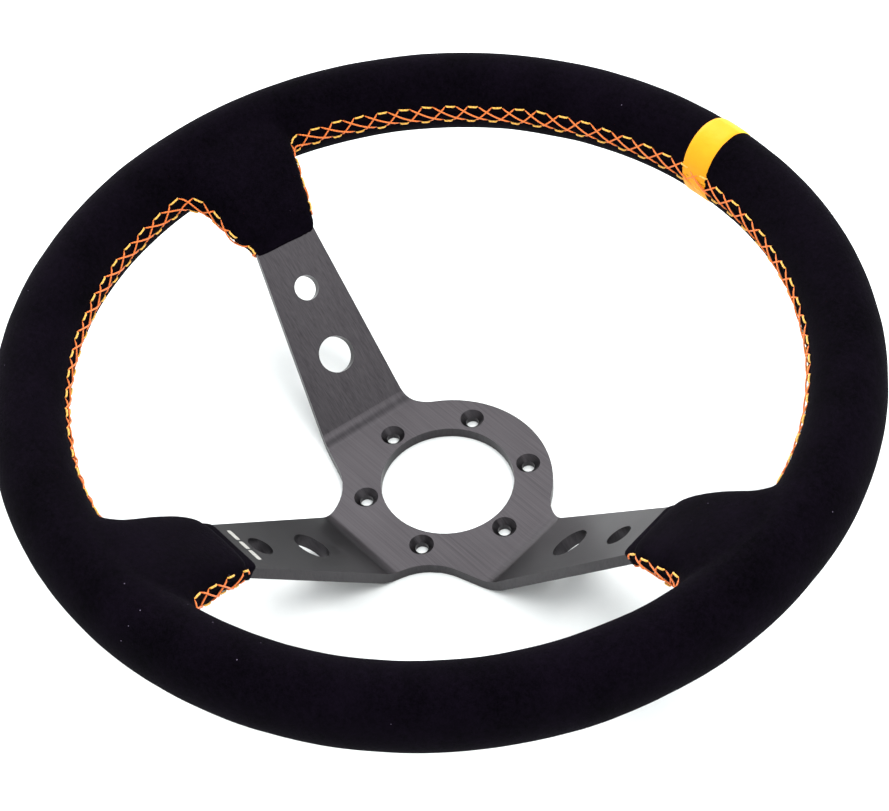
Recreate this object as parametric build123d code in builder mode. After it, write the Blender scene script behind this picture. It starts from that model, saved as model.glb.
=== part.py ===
"""Deep-dish three-spoke steering wheel with a suede rim, in millimetres.

Frame: the origin is the centre of the hub's back face, which bolts to a steering
boss. +Z points to the driver and +Y to the centre mark at twelve o'clock.
Each spoke has its own line: u runs outward along it, v runs across it to the left.
The bends of a side spoke are not square to its line: they face another way.
"""
from build123d import *
import os
from math import atan2, cos, degrees, hypot, radians, sin, sqrt, tan

# ---- driving dimensions -------------------------------------------------
# rim
rim_radius = 160.0          # centre line of the rim tube
rim_width = 30.0            # tube section, measured along the radius
rim_depth = 35.0            # tube section, measured along the axis
rim_height = 81.3           # centre of the tube above the hub's back face
skin = 1.0                  # suede thickness

# hub
plate = 5.0                 # spoke plate thickness
bore_radius = 28.2
bolt_circle = 70.0
bolt_count = 6
hub_edge = 9.5              # plate outside the bolt circle
bolt_hole = 5.5             # clear hole for an M5 screw
sink_width = 10.2           # top of the countersink
sink_angle = 90.0
upper_fillet = 16.0         # hub to the upper edge of a side spoke
lower_fillet = 25.0         # side spoke to bottom spoke

# spokes
side_spoke_turn = 77.5      # side spokes point this far from twelve o'clock
side_spoke_drop = 13.3      # and pass this far below the wheel's centre
side_fold_turn = 83.5       # their bends face this far from twelve o'clock
dish_angle = 43.3           # slope of the spokes
bend_gap = 4.0              # from the hub's round edge to where flat and slope would meet
bend_radius = 10.0          # inside radius of every bend
spoke_root = 41.6           # spoke width at the lower bend
spoke_neck = 24.6           # spoke width at the upper bend
small_hole = 11.0
small_hole_back = 18.0      # along the slope, from the hem's edge to its centre
large_hole = 16.0
hole_spacing = 31.3         # between the two holes' centres

# ring inside the rim, and its rivets
ring_width = 12.0
ring_depth = 6.0
rivet_shank = 5.0
rivet_head = 9.0
rivet_head_depth = 1.8
rivet_edge = 5.8            # from a rivet's centre to the tab's edge

# padded boots over the spokes, with a thin hem on the plate
boot_length = 25.9          # along the slope, from the hem's edge to the upper bend
hem_length = 5.5
pad_ramp = 3.0              # length over which the padding rises from the hem
pad_above = 4.2             # padding over the plate at the hem, suede included
pad_below = 4.0
boot_side = 2.2             # padding beside the plate at the hem
boot_spread = 10.0          # extra half width where the boot starts to flare
boot_flare_start = 11.0     # inside the rim's inner face
boot_flare = 36.0           # half width where the flare dies into the rim
boot_flare_radius = 25.0

# lacing along the inner seam, and the centre mark
lace_width = 8.4
lace_height = 0.6
lace_inset = 4.0            # lacing stops this far short of the hem
lace_tuck = 0.3             # at each edge, narrower on a boot than on the tube
mark_width = 14.0
mark_thickness = 0.7        # a little more than the lacing it covers

# ---- derived sizes ------------------------------------------------------
slope = radians(dish_angle)
tube_a = rim_width / 2
tube_b = rim_depth / 2
hub_radius = bolt_circle / 2 + hub_edge
bend_start = hub_radius + bend_gap
ring_bottom = rim_height - ring_depth / 2
tab_top = ring_bottom
neck_u = bend_start + (tab_top - plate) / tan(slope)
bend_shift = plate * tan(slope / 2)
tab_end = rim_radius + ring_width / 2
rivet_spacing = spoke_neck - 2 * rivet_edge
rim_inner = rim_radius - tube_a
hem_start = (tab_top - plate) / sin(slope) - boot_length   # from the lower bend
hem_end = hem_start + hem_length
small_hole_at = hem_start - small_hole_back
large_hole_at = small_hole_at - hole_spacing
tall = rim_height + rim_depth
wide = rim_radius + rim_width

# Each spoke's own turn and sideways shift, and the way that its bends face.
spoke_lines = {
    "left": (90 + side_spoke_turn, side_spoke_drop, 90 + side_fold_turn),
    "right": (90 - side_spoke_turn, -side_spoke_drop, 90 - side_fold_turn),
    "bottom": (270, 0.0, 270),
}


def on_slope(along, above):
    """(u, z), with u the way the bends face, along the slope and above its top face."""
    u = bend_start + along * cos(slope) - above * sin(slope)
    return (u, plate + along * sin(slope) + above * cos(slope))


def half_width(u):
    """Half the plate's width at u, tapering to the neck and then constant."""
    taper = (spoke_root - spoke_neck) / (neck_u - bend_start) / 2
    return spoke_root / 2 - taper * (min(u, neck_u) - bend_start)


def plan_plane(turn, shift):
    """Plane with x along the spoke and y across it, at the hub's back face."""
    a = radians(turn)
    start = (-shift * sin(a), shift * cos(a), 0)
    return Plane(origin=start, x_dir=(cos(a), sin(a), 0), z_dir=(0, 0, 1))


def side_plane(turn):
    """Plane through the wheel's axis, with x outward and y up."""
    a = radians(turn)
    return Plane(origin=(0, 0, 0), x_dir=(cos(a), sin(a), 0), z_dir=(sin(a), -cos(a), 0))


def slope_plane(turn, shift, fold, along):
    """Plane on the slope's top face, centred on the spoke's own line."""
    reach, z = on_slope(along, 0)
    lean = radians(turn - fold)
    u = (reach + shift * sin(lean)) / cos(lean)
    centre = plan_plane(turn, shift).from_local_coords((u, 0, z))
    a = radians(fold)
    face = (-sin(slope) * cos(a), -sin(slope) * sin(a), cos(slope))
    across = (-sin(a), cos(a), 0)
    return Plane(origin=centre, x_dir=across, z_dir=face)


# ---- spoke plate: hub and three spokes from one bent plate --------------
with BuildSketch() as flat_outline:
    for turn, shift, _ in spoke_lines.values():
        with BuildSketch(plan_plane(turn, shift), mode=Mode.PRIVATE) as arm:
            with BuildLine():
                Polyline(
                    (0, half_width(0)), (neck_u, half_width(neck_u)),
                    (tab_end, half_width(neck_u)), (tab_end, -half_width(neck_u)),
                    (neck_u, -half_width(neck_u)), (0, -half_width(0)), close=True)
            make_face()
        add(arm.sketch)
    lower = [c for c in flat_outline.vertices()
             if c.Y < 0 and hypot(c.X, c.Y) < hub_radius]
    fillet(sorted(lower, key=lambda c: hypot(c.X, c.Y))[-2:], lower_fillet)
    Circle(hub_radius)
    upper = [c for c in flat_outline.vertices()
             if c.Y > 0 and abs(hypot(c.X, c.Y) - hub_radius) < 0.01]
    fillet(upper, upper_fillet)
    Circle(tab_end, mode=Mode.INTERSECT)


def bent_arm(fold, outline):
    """One spoke and its tab: the bent side view cut to the flat outline."""
    corners = {
        (bend_start, plate): bend_radius,
        (bend_start + bend_shift, 0): bend_radius + plate,
        (neck_u, tab_top): bend_radius + plate,
        (neck_u + bend_shift, tab_top - plate): bend_radius,
    }
    with BuildPart() as arm:
        with BuildSketch(side_plane(fold)) as side:
            with BuildLine():
                Polyline(
                    (join_u, 0), (bend_start + bend_shift, 0),
                    (neck_u + bend_shift, tab_top - plate), (wide, tab_top - plate),
                    (wide, tab_top), (neck_u, tab_top), (bend_start, plate),
                    (join_u, plate), close=True)
            make_face()
            for (u, z), radius in corners.items():
                corner = side.vertices().sort_by_distance((u, z, 0))[0]
                fillet(corner, radius)
        extrude(amount=hub_radius * 2, both=True)
        with BuildSketch():
            add(outline)
        extrude(amount=tall, mode=Mode.INTERSECT)
    return arm.part


join_u = bend_start - bend_radius
with BuildSketch() as hub_outline:
    add(flat_outline.sketch)
    for _, _, fold in spoke_lines.values():
        with BuildSketch(plan_plane(fold, 0), mode=Mode.PRIVATE) as beyond:
            with Locations((join_u + wide / 2, 0)):
                Rectangle(wide, 2 * hub_radius)
        add(beyond.sketch, mode=Mode.SUBTRACT)

arms = [bent_arm(fold, flat_outline.sketch) for _, _, fold in spoke_lines.values()]

with BuildPart() as spoke_plate:
    with BuildSketch():
        add(hub_outline.sketch)
    extrude(amount=plate)
    add(arms)
    with BuildSketch():
        Circle(bore_radius)
    extrude(amount=plate, mode=Mode.SUBTRACT)
    with Locations(Plane.XY.offset(plate)):
        with PolarLocations(bolt_circle / 2, bolt_count):
            CounterSinkHole(bolt_hole / 2, sink_width / 2, plate, sink_angle)
    for line in spoke_lines.values():
        for along, width in ((large_hole_at, large_hole), (small_hole_at, small_hole)):
            with BuildSketch(slope_plane(*line, along)):
                Circle(width / 2)
            extrude(amount=plate * 2, both=True, mode=Mode.SUBTRACT)

# ---- ring inside the rim, riveted on the three tabs ----------------------
rivet_places = []
for turn, shift, _ in spoke_lines.values():
    a = radians(turn)
    reach = sqrt(rim_radius ** 2 - shift ** 2 - (rivet_spacing / 2) ** 2)
    for side in (-1, 1):
        across = shift + side * rivet_spacing / 2
        rivet_places.append((reach * cos(a) - across * sin(a),
                             reach * sin(a) + across * cos(a)))

with BuildPart() as rim_ring:
    with BuildSketch(Plane.XY.offset(ring_bottom)):
        Circle(rim_radius + ring_width / 2)
        Circle(rim_radius - ring_width / 2, mode=Mode.SUBTRACT)
    extrude(amount=ring_depth)
    chamfer(rim_ring.edges().filter_by(GeomType.CIRCLE), 0.8)
    with BuildSketch(Plane.XY.offset(ring_bottom)):
        with Locations(rivet_places):
            Circle(rivet_shank / 2)
    extrude(amount=ring_depth, mode=Mode.SUBTRACT)

with BuildPart() as tab_holes:
    with BuildSketch(Plane.XY.offset(tab_top)):
        with Locations(rivet_places):
            Circle(rivet_shank / 2)
    extrude(amount=-plate)

with BuildPart(mode=Mode.PRIVATE) as drilled_plate:
    add(spoke_plate.part)
    add(tab_holes.part, mode=Mode.SUBTRACT)

with BuildPart() as spoke_rivets:
    with BuildSketch(Plane.XY.offset(tab_top - plate)):
        with Locations(rivet_places):
            Circle(rivet_shank / 2)
    extrude(amount=plate + ring_depth)
    for height, way in ((tab_top - plate, -1), (ring_bottom + ring_depth, 1)):
        with BuildSketch(Plane.XY.offset(height)):
            with Locations(rivet_places):
                Circle(rivet_head / 2)
        extrude(amount=way * rivet_head_depth, taper=20)


# ---- padded body: the rim tube with a boot on each spoke -----------------
def tube_body(inset):
    """The rim tube as a full turn of its section, drawn in by inset.

    The section is two half ellipses, so that the tube's faces meet on its
    inner and outer lines.
    """
    middle = (rim_radius, rim_height)
    with BuildPart() as tube:
        with BuildSketch(side_plane(90)):
            with BuildLine():
                for start in (0, 180):
                    EllipticalCenterArc(middle, tube_a - inset, tube_b - inset,
                                        start_angle=start, arc_size=180)
            make_face()
        revolve(axis=Axis.Z)
    return tube.part


def in_tube(angle):
    """(u, z) just under the tube's skin, with 0 outward and 90 to the driver."""
    a = radians(angle)
    return (rim_radius + (tube_a - skin) * cos(a), rim_height + (tube_b - skin) * sin(a))


def boot_outline(turn, shift):
    """A boot seen along the wheel's axis, flaring where it meets the tube."""
    hem_u = on_slope(hem_start, 0)[0]
    hem_half = half_width(hem_u) + boot_side
    flare_u = rim_inner - boot_flare_start
    spread = half_width(flare_u) + boot_spread
    rim_u = rim_radius - tube_a / 2
    with BuildSketch(plan_plane(turn, shift)) as outline:
        with BuildLine():
            Polyline((hem_u, hem_half), (flare_u, spread), (rim_u, boot_flare),
                     (rim_u, -boot_flare), (flare_u, -spread), (hem_u, -hem_half),
                     close=True)
        make_face()
        bends = [c for c in outline.vertices()
                 if abs(c.X - flare_u) < 0.01 and abs(c.Y) < boot_flare]
        fillet(bends, boot_flare_radius)
    return outline.sketch


def boot_body(turn, shift, fold, inset):
    """One boot: its side view and its outline cut from each other."""
    top_hem = on_slope(hem_end, skin)
    top_pad = on_slope(hem_end + pad_ramp, pad_above)
    low_hem = on_slope(hem_end, -plate - skin)
    low_pad = on_slope(hem_end + pad_ramp, -plate - pad_below)
    neck_top = (neck_u - pad_above / 2, tab_top + pad_above)
    with BuildPart() as boot:
        with BuildSketch(side_plane(fold)) as side:
            with BuildLine():
                Polyline(top_hem, top_pad, neck_top, in_tube(106),
                         (rim_radius, rim_height), in_tube(238), low_pad, low_hem,
                         close=True)
            make_face()
            if inset:
                offset(amount=-inset, kind=Kind.INTERSECTION)
        extrude(amount=boot_flare * 1.5, both=True)
        with BuildSketch():
            add(boot_outline(turn, shift))
            if inset:
                offset(amount=-inset, kind=Kind.INTERSECTION)
        extrude(amount=tall, mode=Mode.INTERSECT)
    return boot.part


def padded_body(inset):
    """The tube and its three boots as one solid, drawn in by inset."""
    with BuildPart() as body:
        add(tube_body(inset))
        for line in spoke_lines.values():
            add(boot_body(*line, inset))
    return body.part


def hem_sleeve(turn, shift, fold):
    """Suede wrapped tight on the plate, from the hem's edge into the padding."""
    start_u = bend_start + hem_start * cos(slope)
    with BuildPart() as sleeve:
        with BuildSketch(side_plane(fold)):
            with BuildLine():
                Polyline(on_slope(hem_start, skin), on_slope(hem_end + pad_ramp, skin),
                         on_slope(hem_end + pad_ramp, -plate - skin),
                         on_slope(hem_start, -plate - skin), close=True)
            make_face()
        extrude(amount=boot_flare, both=True)
        with BuildSketch(plan_plane(turn, shift)):
            with BuildLine():
                near = half_width(start_u - plate) + skin
                far = half_width(neck_u) + skin
                Polyline((start_u - plate, near), (neck_u, far), (neck_u, -far),
                         (start_u - plate, -near), close=True)
            make_face()
        extrude(amount=tall, mode=Mode.INTERSECT)
    return sleeve.part


outer_body = padded_body(0)
inner_body = padded_body(skin)

with BuildPart() as rim_foam:
    add(inner_body)
    add(drilled_plate.part, mode=Mode.SUBTRACT)
    add(rim_ring.part, mode=Mode.SUBTRACT)
    add(spoke_rivets.part, mode=Mode.SUBTRACT)

with BuildPart() as suede_cover:
    add(outer_body)
    for line in spoke_lines.values():
        add(hem_sleeve(*line))
    add(inner_body, mode=Mode.SUBTRACT)
    add(drilled_plate.part, mode=Mode.SUBTRACT)


# ---- centre mark: a band round the tube at twelve o'clock ----------------
with BuildPart() as centre_mark:
    add(tube_body(-mark_thickness))
    add(tube_body(0), mode=Mode.SUBTRACT)
    with BuildSketch():
        with Locations((0, wide / 2)):
            Rectangle(mark_width, wide)
    extrude(amount=tall, mode=Mode.INTERSECT)


# ---- lacing: raised strips along the inner seam, boot to boot ------------
def side_lace(turn, shift, fold):
    """The lacing's strip on both sides of one boot, from tube to hem."""
    middle = (pad_above - plate - pad_below) / 2
    half = lace_width / 2 - lace_tuck
    steep = half / cos(slope)
    hem = on_slope(hem_end + lace_inset, middle)
    neck = (neck_u, (tab_top + rim_height) / 2 - plate / 2)
    rim = (rim_radius - tube_a / 2, rim_height)
    outline = boot_outline(turn, shift)
    with BuildPart() as lace:
        with BuildSketch(side_plane(fold)):
            with BuildLine():
                Polyline((hem[0], hem[1] - steep), (neck[0], neck[1] - half),
                         (rim[0], rim[1] - half), (rim[0], rim[1] + half),
                         (neck[0], neck[1] + half), (hem[0], hem[1] + steep), close=True)
            make_face()
        extrude(amount=boot_flare * 1.5, both=True)
        with BuildSketch():
            add(outline)
            offset(amount=lace_height, kind=Kind.INTERSECTION)
            add(outline, mode=Mode.SUBTRACT)
        extrude(amount=tall, mode=Mode.INTERSECT)
    return lace.part


with BuildPart() as lacing:
    add(tube_body(-lace_height))
    with BuildSketch(Plane.XY.offset(rim_height - lace_width / 2)):
        Circle(rim_inner + tube_a / 2)
    extrude(amount=lace_width, mode=Mode.INTERSECT)
    for line in spoke_lines.values():
        add(side_lace(*line))
    add(outer_body, mode=Mode.SUBTRACT)
    add(centre_mark.part, mode=Mode.SUBTRACT)


def lacing_run(low, high):
    """The lacing whose middle lies between two bearings seen from the driver."""
    with BuildPart() as run:
        for strip in lacing.part.solids():
            middle = strip.center()
            bearing = degrees(atan2(middle.Y, middle.X)) % 360
            if low < bearing < high:
                add(strip)
    return run


lacing_upper = lacing_run(0, 180)
lacing_lower_left = lacing_run(180, 270)
lacing_lower_right = lacing_run(270, 360)

# ---- write one file for each piece --------------------------------------
os.makedirs("parts", exist_ok=True)

drilled_plate.part.label = "spoke_plate"
export_step(drilled_plate.part, "parts/spoke_plate.step")
rim_ring.part.label = "rim_ring"
export_step(rim_ring.part, "parts/rim_ring.step")
spoke_rivets.part.label = "spoke_rivets"
export_step(spoke_rivets.part, "parts/spoke_rivets.step")
rim_foam.part.label = "rim_foam"
export_step(rim_foam.part, "parts/rim_foam.step")
suede_cover.part.label = "suede_cover"
export_step(suede_cover.part, "parts/suede_cover.step")
centre_mark.part.label = "centre_mark"
export_step(centre_mark.part, "parts/centre_mark.step")
lacing_upper.part.label = "lacing_upper"
export_step(lacing_upper.part, "parts/lacing_upper.step")
lacing_lower_left.part.label = "lacing_lower_left"
export_step(lacing_lower_left.part, "parts/lacing_lower_left.step")
lacing_lower_right.part.label = "lacing_lower_right"
export_step(lacing_lower_right.part, "parts/lacing_lower_right.step")
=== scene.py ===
"""Looks for a deep-dish steering wheel: suede cover, lacing, centre mark and brushed spokes.

Lengths are in metres. The wheel's frame has its origin at the centre of the hub's back
face, +Z towards the driver and +Y towards the centre mark at twelve o'clock.
"""

import math
import random

import bmesh
import bpy
import numpy as np
from bpy.props import FloatProperty, FloatVectorProperty, IntProperty, PointerProperty
from mathutils import Matrix, Vector, noise
from mathutils.bvhtree import BVHTree
from mathutils.kdtree import KDTree


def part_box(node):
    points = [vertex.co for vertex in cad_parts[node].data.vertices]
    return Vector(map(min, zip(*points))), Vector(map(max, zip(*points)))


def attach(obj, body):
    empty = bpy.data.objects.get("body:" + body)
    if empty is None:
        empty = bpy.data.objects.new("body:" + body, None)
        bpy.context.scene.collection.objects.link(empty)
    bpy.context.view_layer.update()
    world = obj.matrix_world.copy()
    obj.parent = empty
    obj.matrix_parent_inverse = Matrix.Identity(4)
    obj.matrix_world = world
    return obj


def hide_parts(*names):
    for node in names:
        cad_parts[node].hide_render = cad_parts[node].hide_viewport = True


bl_info = {
    "name": "Suede steering wheel",
    "version": (1, 0, 0),
    "blender": (4, 5, 0),
    "location": "View3D > Sidebar > Steering Wheel",
    "description": "Covers, laces and finishes a deep-dish steering wheel",
    "category": "Object",
}

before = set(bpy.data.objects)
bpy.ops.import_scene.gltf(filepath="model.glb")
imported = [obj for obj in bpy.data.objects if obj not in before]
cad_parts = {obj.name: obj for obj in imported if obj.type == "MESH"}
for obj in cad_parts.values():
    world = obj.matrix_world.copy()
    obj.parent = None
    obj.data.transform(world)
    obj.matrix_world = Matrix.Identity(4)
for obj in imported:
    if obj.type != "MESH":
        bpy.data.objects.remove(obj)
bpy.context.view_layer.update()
_, COVER_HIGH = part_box("suede_cover")
_, PLATE_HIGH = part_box("spoke_plate")
RING_LOW, RING_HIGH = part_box("rim_ring")

MM = 0.001

# ---- places read from the frame ----
RIM_OUTER = COVER_HIGH[0]
RIM_HEIGHT = (RING_LOW[2] + RING_HIGH[2]) / 2
TUBE_B = COVER_HIGH[2] - RIM_HEIGHT
TAB_TOP = PLATE_HIGH[2]

# Each spoke's own line: the way it points from +X, how far it passes to the left
# of the wheel's centre, and the way that its bends face.
SIDE_TURN = 77.5
SIDE_DROP = 13.3 * MM
SIDE_FOLD = 83.5
SPOKE_ROOT = 41.6 * MM      # plate's width at the lower bend
SPOKE_NECK = 24.6 * MM      # plate's width at the upper bend
SPOKES = {
    "left": (math.radians(90 + SIDE_TURN), SIDE_DROP, math.radians(90 + SIDE_FOLD)),
    "bottom": (math.radians(270), 0.0, math.radians(270)),
    "right": (math.radians(90 - SIDE_TURN), -SIDE_DROP, math.radians(90 - SIDE_FOLD)),
}


# ---- settings ----
def length(name, description, default):
    """A length property with its default in metres."""
    return FloatProperty(name=name, description=description, default=default,
                         min=0.0, unit="LENGTH", precision=5)


def colour(name, description, default):
    """A colour property in linear light."""
    return FloatVectorProperty(name=name, description=description, default=default,
                               size=3, min=0.0, max=1.0, subtype="COLOR")


def degrees(name, description, default):
    """An angle property with its default in degrees."""
    return FloatProperty(name=name, description=description, default=math.radians(default),
                         subtype="ANGLE")


def share(name, description, default):
    """A number from 0 to 1."""
    return FloatProperty(name=name, description=description, default=default,
                         min=0.0, max=1.0, subtype="FACTOR")


class WheelSizes(bpy.types.PropertyGroup):
    """Sizes of the tube and the bent plate under the cover."""

    tube_width: length("Tube width", "Width of the padded tube along the radius", 30 * MM)
    plate: length("Plate", "Thickness of the spoke plate", 5 * MM)
    dish: degrees("Dish", "Slope of the spokes", 43.3)
    bend_start: length("Bend start", "Where flat and slope of the plate would meet",
                       48.5 * MM)


class CoverSettings(bpy.types.PropertyGroup):
    """The suede cover and its boots."""

    grain: length("Mesh grain", "Edge length of the cover's mesh", 1.5 * MM)
    rounding: IntProperty(name="Rounding", description="Passes that round the boots' roots",
                          default=6, min=0)
    unevenness: length("Unevenness", "Height of the hand-wrapped waves", 0.22 * MM)
    groove: length("Seam groove", "Depth of the seam between the suede's two edges", 0.7 * MM)
    hem: length("Hem", "Length of the thin hem on the plate", 5.5 * MM)
    suede: length("Suede", "Thickness of the suede", 1.0 * MM)
    nap_dark: colour("Nap, dark", "Colour where the nap lies away", (0.0004, 0.0002, 0.0007))
    nap_light: colour("Nap, light", "Colour where the nap stands up", (0.0030, 0.0017, 0.0044))
    lint: colour("Lint", "Colour of the dust specks", (0.11, 0.09, 0.13))
    sheen_tint: colour("Sheen", "Tint of the nap's soft shine", (0.62, 0.55, 0.78))
    sheen: share("Sheen amount", "Strength of the nap's soft shine", 0.006)


class LacingSettings(bpy.types.PropertyGroup):
    """The laced thread along the inner seam."""

    thread: length("Thread", "Diameter of the crossing thread", 0.72 * MM)
    tack: length("Tack", "Diameter of the short tacks", 0.82 * MM)
    pitch: length("Pitch", "Distance from tack to tack", 10.0 * MM)
    tack_length: length("Tack length", "Length of one tack", 4.4 * MM)
    gauge: length("Gauge", "Distance between the two rows of tacks", 8.3 * MM)
    seam_drop: length("Seam drop", "Seam below the tube's middle", 0.5 * MM)
    thread_colour: colour("Thread", "Colour of the crossing thread", (0.95, 0.185, 0.016))
    tack_colour: colour("Tack", "Colour of the tacks", (0.98, 0.46, 0.06))


class MarkSettings(bpy.types.PropertyGroup):
    """The coloured band at twelve o'clock."""

    bearing: degrees("Bearing", "The band's middle, from +X", 89.2)
    width: length("Width", "Width of the band", 14 * MM)
    thickness: length("Thickness", "Thickness of the band", 0.45 * MM)
    face: colour("Face", "Colour of the band", (0.90, 0.66, 0.012))
    inner: colour("Inner end", "Colour towards the seam", (0.84, 0.31, 0.004))


class PlateSettings(bpy.types.PropertyGroup):
    """The anodised spoke plate and the metal inside the rim."""

    anodised: colour("Anodising", "Colour of the anodised plate", (0.029, 0.0265, 0.0290))
    brushed: colour("Brush lines", "Colour at the top of the brush lines", (0.054, 0.050, 0.0535))
    bare: colour("Bare metal", "Colour of ring and rivets", (0.62, 0.62, 0.64))
    bar: colour("Mark bars", "Colour of the plain bars etched in the plate",
                (0.40, 0.39, 0.36))


class StageSettings(bpy.types.PropertyGroup):
    """Floor, lights and camera."""

    floor: colour("Floor", "Colour of the floor", (0.86, 0.88, 0.87))
    azimuth: degrees("Azimuth", "Camera's turn round the wheel", 52.85)
    elevation: degrees("Elevation", "Camera's height angle", 49.3)
    roll: degrees("Roll", "Camera's roll", -6.3)
    distance: length("Distance", "From camera to the point it faces", 0.8947)
    lens: FloatProperty(name="Lens", description="Focal length in millimetres",
                        default=83.4, min=1.0)


SETTING_GROUPS = {
    "wheel_sizes": WheelSizes,
    "wheel_cover": CoverSettings,
    "wheel_lacing": LacingSettings,
    "wheel_mark": MarkSettings,
    "wheel_plate": PlateSettings,
    "wheel_stage": StageSettings,
}


# ---- geometry of the spokes ----
def spoke_point(spoke, u, v, z):
    """World point: u outward the way the bends face, v left of the spoke's line, z up."""
    turn, shift, fold = SPOKES[spoke]
    lean = turn - fold
    line = (u + shift * math.sin(lean)) / math.cos(lean)
    side = line * math.sin(lean) + shift * math.cos(lean) + v
    return Vector((u * math.cos(fold) - side * math.sin(fold),
                   u * math.sin(fold) + side * math.cos(fold), z))


def on_slope(sizes, along, above):
    """(u, z) along the slope from the lower bend and above the plate's top face."""
    c, s = math.cos(sizes.dish), math.sin(sizes.dish)
    return (sizes.bend_start + along * c - above * s, sizes.plate + along * s + above * c)


def tube_centre(sizes):
    """Radius of the tube's centre line."""
    return RIM_OUTER - sizes.tube_width / 2


def in_tube(sizes, angle, inset):
    """(u, z) on the tube's section, 0 outward and 90 towards the driver, drawn in."""
    a = math.radians(angle)
    return (tube_centre(sizes) + (sizes.tube_width / 2 - inset) * math.cos(a),
            RIM_HEIGHT + (TUBE_B - inset) * math.sin(a))


# ---- mesh helpers ----
def mesh_object(name, points, faces, materials=(), smooth=True):
    """A new mesh object in the scene."""
    mesh = bpy.data.meshes.new(name)
    mesh.from_pydata([tuple(p) for p in points], [], faces)
    mesh.validate()
    for material in materials:
        mesh.materials.append(material)
    if smooth:
        mesh.shade_smooth()
    piece = bpy.data.objects.new(name, mesh)
    bpy.context.collection.objects.link(piece)
    return piece


def grid_faces(rows, columns, wrap_rows=False, wrap_columns=True):
    """Quads of a grid of points laid out row by row."""
    faces = []
    for i in range(rows if wrap_rows else rows - 1):
        for j in range(columns if wrap_columns else columns - 1):
            k = (i + 1) % rows
            n = (j + 1) % columns
            faces.append((i * columns + j, i * columns + n, k * columns + n, k * columns + j))
    return faces


def loft(rings):
    """Points and faces of a closed body through rings of points, capped at both ends."""
    count = len(rings[0])
    points = [p for ring in rings for p in ring]
    faces = grid_faces(len(rings), count)
    for ring, turn in ((rings[0], 1), (rings[-1], -1)):
        points.append(sum((Vector(p) for p in ring), Vector()) / count)
        hub = len(points) - 1
        base = 0 if turn == 1 else (len(rings) - 1) * count
        for j in range(count):
            n = (j + 1) % count
            faces.append((base + n, base + j, hub) if turn == 1 else (base + j, base + n, hub))
    return points, faces


def squared(value, power):
    """A sine or cosine pushed outward, which makes an ellipse squarer."""
    return math.copysign(abs(value) ** power, value)


def smooth_step(x, low, high):
    """0 below low, 1 above high, and a smooth rise between."""
    t = np.clip((x - low) / (high - low), 0.0, 1.0)
    return t * t * (3 - 2 * t)


# ---- cover ----
# Each boot's own hand-made differences: where its hem ends along the slope and
# how far the hem leans across the spoke. On the left and right of the spoke it
# has its half widths just past the hem, a third of the way up and at the tube, and
# the rounding of the corner that it makes with the tube.
BOOTS = {
    "left": {"hem": 83.8 * MM, "lean": 0.03, "hem_sides": (18.6 * MM, 17.0 * MM),
             "low": (22.4 * MM, 18.3 * MM), "high": (24.0 * MM, 22.5 * MM),
             "corner": (15 * MM, 2 * MM)},
    "bottom": {"hem": 78.6 * MM, "lean": 0.0, "hem_sides": (17.6 * MM, 17.0 * MM),
               "low": (19.5 * MM, 19.5 * MM), "high": (24.0 * MM, 22.5 * MM),
               "corner": (10 * MM, 10 * MM)},
    "right": {"hem": 80.1 * MM, "lean": -0.02, "hem_sides": (17.0 * MM, 17.4 * MM),
              "low": (18.5 * MM, 20.5 * MM), "high": (22.0 * MM, 26.0 * MM),
              "corner": (7 * MM, 10 * MM)},
}
BOOT_CORNER = 3.4           # 2 is an ellipse, higher is squarer
BOOT_RING = 64              # points round a boot
WAVES = 38.0                # hand-wrapped waves in a metre


def boot_stations(sizes, spoke):
    """(top, bottom, half width left, half width right) of a boot from hem to tube."""
    boot = BOOTS[spoke]
    hem, plate = boot["hem"], sizes.plate
    hem_left, hem_right = boot["hem_sides"]
    low_left, low_right = boot["low"]
    high_left, high_right = boot["high"]

    def station(along, above, below, left, right):
        return (on_slope(sizes, along, above), on_slope(sizes, along, -plate - below),
                left, right)

    neck_top = on_slope(sizes, hem + 31 * MM, 3.0 * MM)
    neck_low = (neck_top[0] + 5 * MM, RIM_HEIGHT - 17.5 * MM)
    return [
        station(hem + 1.2 * MM, 0.7 * MM, 0.7 * MM, 16.0 * MM, 16.0 * MM),
        station(hem + 4.6 * MM, 1.1 * MM, 1.1 * MM, 16.4 * MM, 16.3 * MM),
        station(hem + 6.4 * MM, 1.8 * MM, 1.9 * MM, hem_left - 0.8 * MM, hem_right - 0.6 * MM),
        station(hem + 8.6 * MM, 3.4 * MM, 3.6 * MM, hem_left, hem_right),
        station(hem + 12 * MM, 4.0 * MM, 4.6 * MM, (hem_left + low_left) / 2,
                (hem_right + low_right) / 2),
        station(hem + 18 * MM, 4.1 * MM, 6.0 * MM, low_left, low_right),
        (neck_top, neck_low, (low_left + high_left) / 2, (low_right + high_right) / 2),
        (in_tube(sizes, 118, 0.8 * MM), in_tube(sizes, 222, 0.8 * MM), high_left, high_right),
        (in_tube(sizes, 98, 3 * MM), in_tube(sizes, 262, 3 * MM), high_left, high_right),
    ]


def interpolate_stations(stations, steps):
    """Stations joined by smooth curves, as rows of six numbers."""
    rows = np.array([(t[0], t[1], b[0], b[1], wl, wr) for t, b, wl, wr in stations])
    knots = np.zeros(len(rows))
    knots[1:] = np.cumsum(np.linalg.norm(np.diff(rows[:, :4], axis=0), axis=1) + 1e-6)
    slopes = np.gradient(rows, knots, axis=0)
    out = []
    for i in range(len(rows) - 1):
        gap = knots[i + 1] - knots[i]
        for t in np.linspace(0, 1, steps, endpoint=i == len(rows) - 2):
            h = (2 * t**3 - 3 * t**2 + 1, t**3 - 2 * t**2 + t, -2 * t**3 + 3 * t**2, t**3 - t**2)
            out.append(h[0] * rows[i] + h[1] * gap * slopes[i]
                       + h[2] * rows[i + 1] + h[3] * gap * slopes[i + 1])
    return out


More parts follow.
